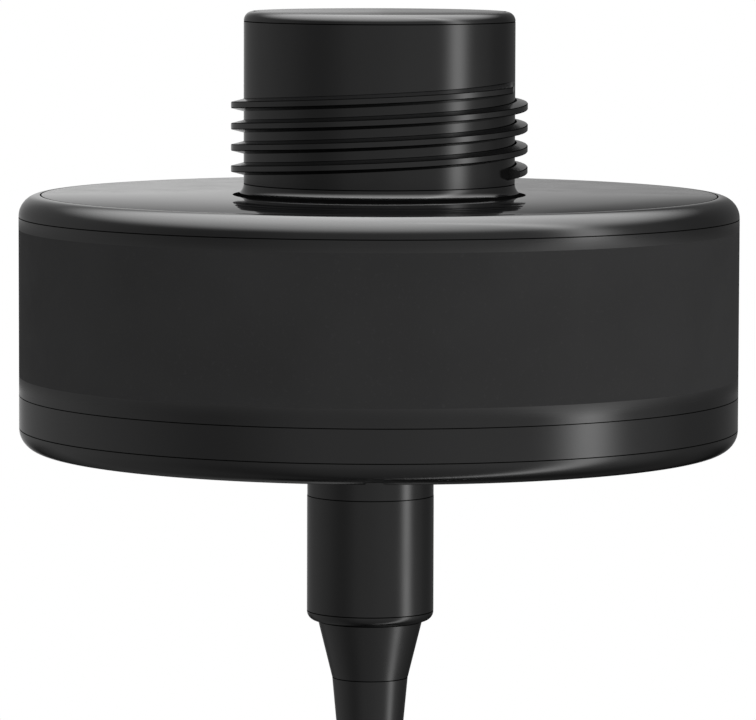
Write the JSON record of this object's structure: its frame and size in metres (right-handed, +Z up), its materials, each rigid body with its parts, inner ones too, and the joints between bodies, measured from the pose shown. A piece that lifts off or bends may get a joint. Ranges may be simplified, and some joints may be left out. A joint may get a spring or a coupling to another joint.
{
  "type": "gnss receiver",
  "caption": "Round sealed satellite receiver puck with a threaded antenna stub on top and a screwed-on round connector with its drop cable below.",
  "frame": {"origin": "centre of the seat, the flat ring of the disc's top face around the threaded stub", "axes": "+Z up along the stub towards the sky, -Y the front, the cable leaves downwards"},
  "size_m": [0.0898, 0.085, 0.247],
  "materials": {
    "housing_plastic": "glass-filled housing plastic, near black, smooth satin sides and a glossier top",
    "grip_elastomer": "moulded polyurethane grip, near black, fine matt",
    "cable_jacket": "black polyurethane cable jacket, matt",
    "seal_rubber": "black nitrile seal",
    "tie_nylon": "black nylon cable tie",
    "screw_steel": "stainless steel",
    "nut_steel": "nickel-plated knurled coupling nut",
    "tinned_steel": "tinned sheet and foil-sleeved cans",
    "contact_gold": "gold-plated brass contacts",
    "board_laminate": "glass-epoxy board under green solder mask",
    "antenna_ceramic": "cream ceramic with a silvered patch",
    "black_plastic": "black moulded plastic",
    "ivory_plastic": "ivory nylon board header",
    "lead_insulation": "coloured lead insulation"
  },
  "bodies": {
    "receiver": {"upper_housing": "housing_plastic", "lower_cover": "housing_plastic", "housing_seal": "seal_rubber", "case_screw_1": "screw_steel", "case_screw_2": "screw_steel", "case_screw_3": "screw_steel", "case_screw_4": "screw_steel", "antenna_carrier": "black_plastic", "antenna_board": "board_laminate", "patch_antenna": "antenna_ceramic", "amplifier_shield": "tinned_steel", "antenna_coax": "cable_jacket", "coax_plug": "contact_gold", "main_board": "board_laminate", "gnss_module": "tinned_steel", "processor": "black_plastic", "bus_transceiver": "black_plastic", "power_inductor": "black_plastic", "backup_cell": "screw_steel", "filter_capacitor": "tinned_steel", "board_header": "ivory_plastic", "board_screw_1": "screw_steel", "board_screw_2": "screw_steel", "board_screw_3": "screw_steel", "board_screw_4": "screw_steel", "receptacle_body": "screw_steel", "receptacle_seal": "seal_rubber", "receptacle_insert": "black_plastic", "contact_pin_1": "contact_gold", "contact_pin_2": "contact_gold", "contact_pin_3": "contact_gold", "contact_pin_4": "contact_gold", "contact_pin_5": "contact_gold", "contact_lead_1": "lead_insulation", "contact_lead_2": "lead_insulation", "contact_lead_3": "lead_insulation", "contact_lead_4": "lead_insulation", "contact_lead_5": "lead_insulation"},
    "plug": {"plug_overmould": "grip_elastomer", "plug_insert": "black_plastic", "plug_o_ring": "seal_rubber", "cable_lead": "cable_jacket", "cable_coil": "cable_jacket", "cable_tail": "cable_jacket", "coil_tie_1": "tie_nylon", "coil_tie_2": "tie_nylon", "far_plug_overmould": "grip_elastomer", "far_plug_insert": "black_plastic", "far_pin_1": "contact_gold", "far_pin_2": "contact_gold", "far_pin_3": "contact_gold", "far_pin_4": "contact_gold", "far_pin_5": "contact_gold"},
    "nut": {"coupling_nut": "housing_plastic"},
    "far_nut": {"far_plug_nut": "nut_steel"}
  },
  "joints": [
    {"name": "plug_draw", "type": "slide", "parent": "receiver", "child": "plug", "axis": [0, 0, -1], "range_m": [0, 0.005]},
    {"name": "nut_turn", "type": "hinge", "parent": "plug", "child": "nut", "pos_m": [-0.00094, 0, -0.043], "axis": [0, 0, -1], "range_deg": [-5, 1805]},
    {"name": "far_nut_turn", "type": "hinge", "parent": "plug", "child": "far_nut", "pos_m": [0.03736, 0.0045, -0.22089], "axis": [0, 0, 1], "continuous": true}
  ],
  "couplings": [
    {"joint": "nut_turn", "follows": "plug_draw", "rad_per_m": 6283.2}
  ]
}
